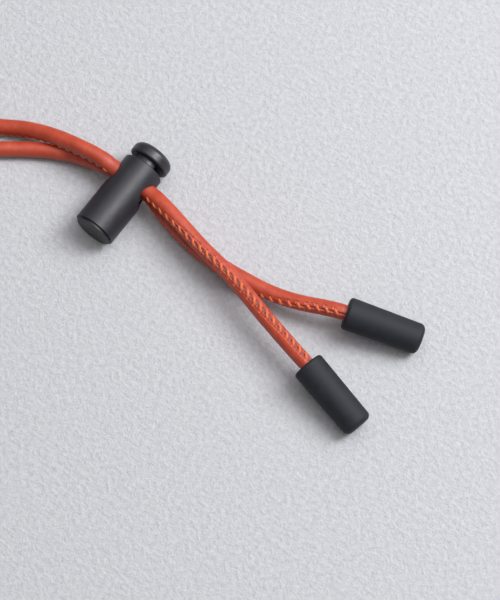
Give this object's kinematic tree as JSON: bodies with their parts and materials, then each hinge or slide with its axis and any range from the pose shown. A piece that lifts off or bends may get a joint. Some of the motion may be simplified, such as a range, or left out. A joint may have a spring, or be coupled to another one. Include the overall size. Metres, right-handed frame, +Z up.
{
  "type": "cord lock",
  "caption": "Round sprung cord lock: a slotted push button pinches a rolled leather drawstring in a barrel, with tapered rubber cord ends.",
  "frame": {"origin": "where the barrel rests on the surface, under the middle of the lock", "axes": "+Y along the barrel's axis, from its closed end to the button; +X towards the two tails; +Z up"},
  "size_m": [0.2099, 0.06, 0.0139],
  "materials": {
    "barrel_plastic": "fine matte, charcoal black",
    "button_plastic": "satin, charcoal black",
    "spring_steel": "drawn wire",
    "leather": "smooth burnt orange, with a stitched seam",
    "core": "greyish core cord, seen through the seam",
    "thread": "twisted orange sewing thread",
    "cord_end_rubber": "matte moulded rubber"
  },
  "bodies": {
    "lock_body": {"barrel": "barrel_plastic", "spring": "spring_steel", "cord_loop": "leather", "cord_right": "leather", "cord_left": "leather", "cord_end_right": "cord_end_rubber", "cord_end_left": "cord_end_rubber"},
    "button": {"plunger": "button_plastic"}
  },
  "joints": [
    {"name": "button_press", "type": "slide", "parent": "lock_body", "child": "button", "axis": [0, -1, 0], "range_m": [0, 0.0018], "stiffness_N_per_m": 800, "deforming": ["spring"]}
  ]
}
